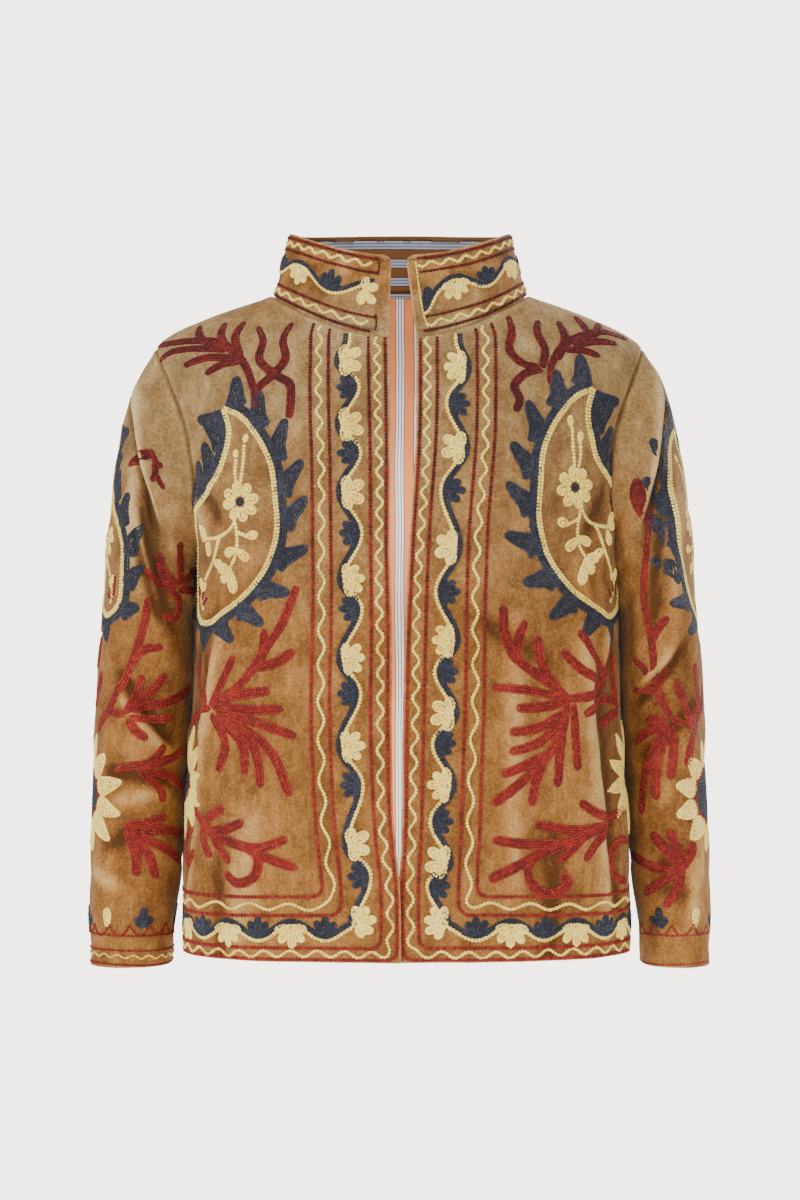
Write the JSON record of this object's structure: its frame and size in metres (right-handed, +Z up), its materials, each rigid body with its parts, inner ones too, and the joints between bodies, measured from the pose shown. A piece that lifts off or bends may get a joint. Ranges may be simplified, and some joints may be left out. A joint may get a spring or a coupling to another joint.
{
  "type": "embroidered velvet jacket with stand collar",
  "caption": "Short open velvet jacket in its worn form, with a stand collar, long sleeves, striped lining and chain-stitch embroidery.",
  "frame": {"origin": "midway between the two neck points, where the shoulders of the wearer carry the jacket", "axes": "+Z up, the front faces -Y, +X to the viewer's right"},
  "size_m": [0.589, 0.2413, 0.6968],
  "materials": {
    "velvet": "cotton velvet with a short pile",
    "striped_cotton": "plain woven cotton with grey and white stripes"
  },
  "bodies": {
    "root": {"front_left": "velvet", "front_right": "velvet", "back": "velvet", "sleeve_left": "velvet", "sleeve_right": "velvet", "collar": "velvet", "lining_back": "striped_cotton", "lining_collar": "striped_cotton"}
  },
  "joints": []
}
